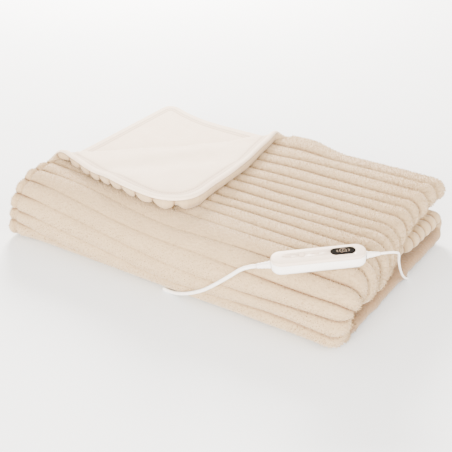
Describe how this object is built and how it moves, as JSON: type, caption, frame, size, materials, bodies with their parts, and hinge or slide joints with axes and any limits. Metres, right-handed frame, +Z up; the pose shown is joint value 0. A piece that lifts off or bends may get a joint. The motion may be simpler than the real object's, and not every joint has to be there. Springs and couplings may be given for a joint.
{
  "type": "folded heated blanket",
  "caption": "Ribbed plush heated blanket, folded, with a corner turned back to its plain white side, and a hand controller on a lead lying on it.",
  "frame": {"origin": "on the surface under the pack, below the middle of the blanket and its controller", "axes": "+X along the ribs, from the left hems to the folds at the right end; +Y from the front fold to the back; +Z up"},
  "size_m": [0.4813, 0.3942, 0.1015],
  "materials": {
    "ribbed_plush": "matte",
    "white_plush": "matte",
    "gloss_white": "gloss",
    "warm_white": "satin",
    "dark_window": "gloss",
    "soft_key": "matte",
    "white_rubber": "matte",
    "white_lead": "matte",
    "bright_metal": "satin"
  },
  "bodies": {
    "root": {"blanket_face": "ribbed_plush", "blanket_back": "white_plush", "controller_base": "gloss_white", "controller_cover": "warm_white", "display_window": "dark_window", "key_power": "soft_key", "key_less": "soft_key", "key_more": "soft_key", "relief_blanket": "white_rubber", "relief_supply": "white_rubber", "blanket_lead": "white_lead", "supply_lead": "white_lead", "supply_tail": "white_lead", "lead_coil": "white_lead", "coil_tie": "white_rubber", "plug_grip": "white_rubber", "plug_shell": "bright_metal"}
  },
  "joints": []
}
